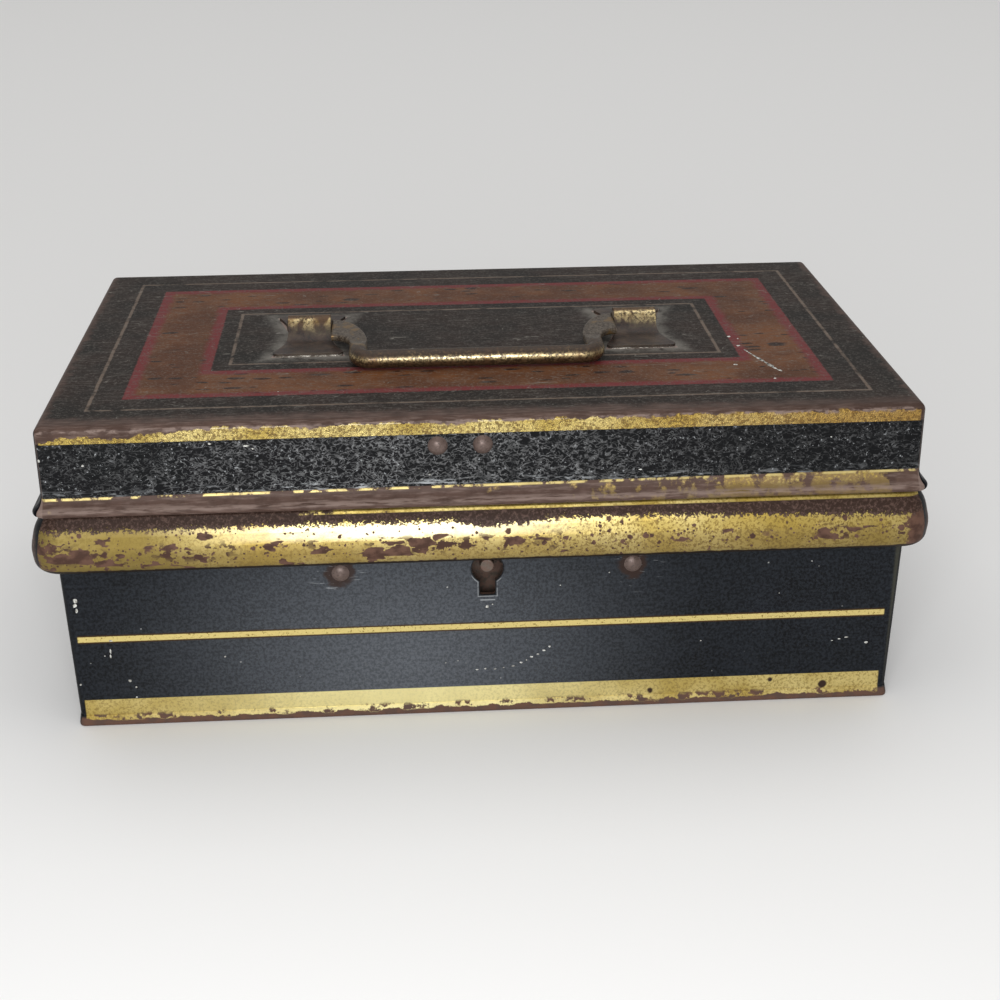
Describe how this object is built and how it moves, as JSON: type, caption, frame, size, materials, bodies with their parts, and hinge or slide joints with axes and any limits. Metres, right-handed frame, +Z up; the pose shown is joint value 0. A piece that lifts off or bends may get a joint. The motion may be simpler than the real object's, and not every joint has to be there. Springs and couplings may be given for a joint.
{
  "type": "deed box",
  "caption": "Japanned tin deed box with a beaded body, hinged flanged lid, folding drop handle on strap ears, and a till lock whose bolt takes a hook on the lid.",
  "frame": {"origin": "middle of the base, on the surface the box stands on", "axes": "+Z up, -Y to the front with the keyhole, +X to the right seen from the front"},
  "size_m": [0.2636, 0.1625, 0.1044],
  "materials": {
    "japanned_tinplate": "worn black japan with gold and red lines on the front and lid",
    "brass_fittings": "tarnished, bright where hands rub it",
    "bright_steel": "dull",
    "browned_rivets": "browned"
  },
  "bodies": {
    "body": {"body_front": "japanned_tinplate", "body_end_left": "japanned_tinplate", "body_end_right": "japanned_tinplate", "body_back": "japanned_tinplate", "bottom_panel": "japanned_tinplate", "lock_plate": "bright_steel", "lock_plate_rivets": "browned_rivets", "lock_case": "bright_steel", "lock_case_rivets": "bright_steel", "bolt_stumps": "bright_steel", "bolt_spring": "bright_steel", "drill_pin": "bright_steel", "hinge_body_rivets": "browned_rivets", "hinge_body_leaf_left": "japanned_tinplate", "hinge_pin_left": "bright_steel", "hinge_body_leaf_right": "japanned_tinplate", "hinge_pin_right": "bright_steel"},
    "lid": {"lid_cover": "japanned_tinplate", "lid_end_left": "japanned_tinplate", "lid_end_right": "japanned_tinplate", "handle_ear_left": "brass_fittings", "handle_ear_right": "brass_fittings", "hinge_lid_leaf_left": "japanned_tinplate", "hinge_lid_leaf_right": "japanned_tinplate", "hinge_lid_rivets": "browned_rivets", "lid_staple": "bright_steel", "staple_rivets": "browned_rivets"},
    "handle": {"handle_bail": "brass_fittings"},
    "bolt": {"lock_bolt": "brass_fittings"}
  },
  "joints": [
    {"name": "lid_hinge", "type": "hinge", "parent": "body", "child": "lid", "pos_m": [0, 0.07885, 0.0695], "axis": [-1, 0, 0], "range_deg": [0, 105]},
    {"name": "handle_pivot", "type": "hinge", "parent": "lid", "child": "handle", "pos_m": [0, 0, 0.1012], "axis": [-1, 0, 0], "range_deg": [0, 183.6]},
    {"name": "bolt_slide", "type": "slide", "parent": "body", "child": "bolt", "axis": [-1, 0, 0], "range_m": [0, 0.008]}
  ]
}
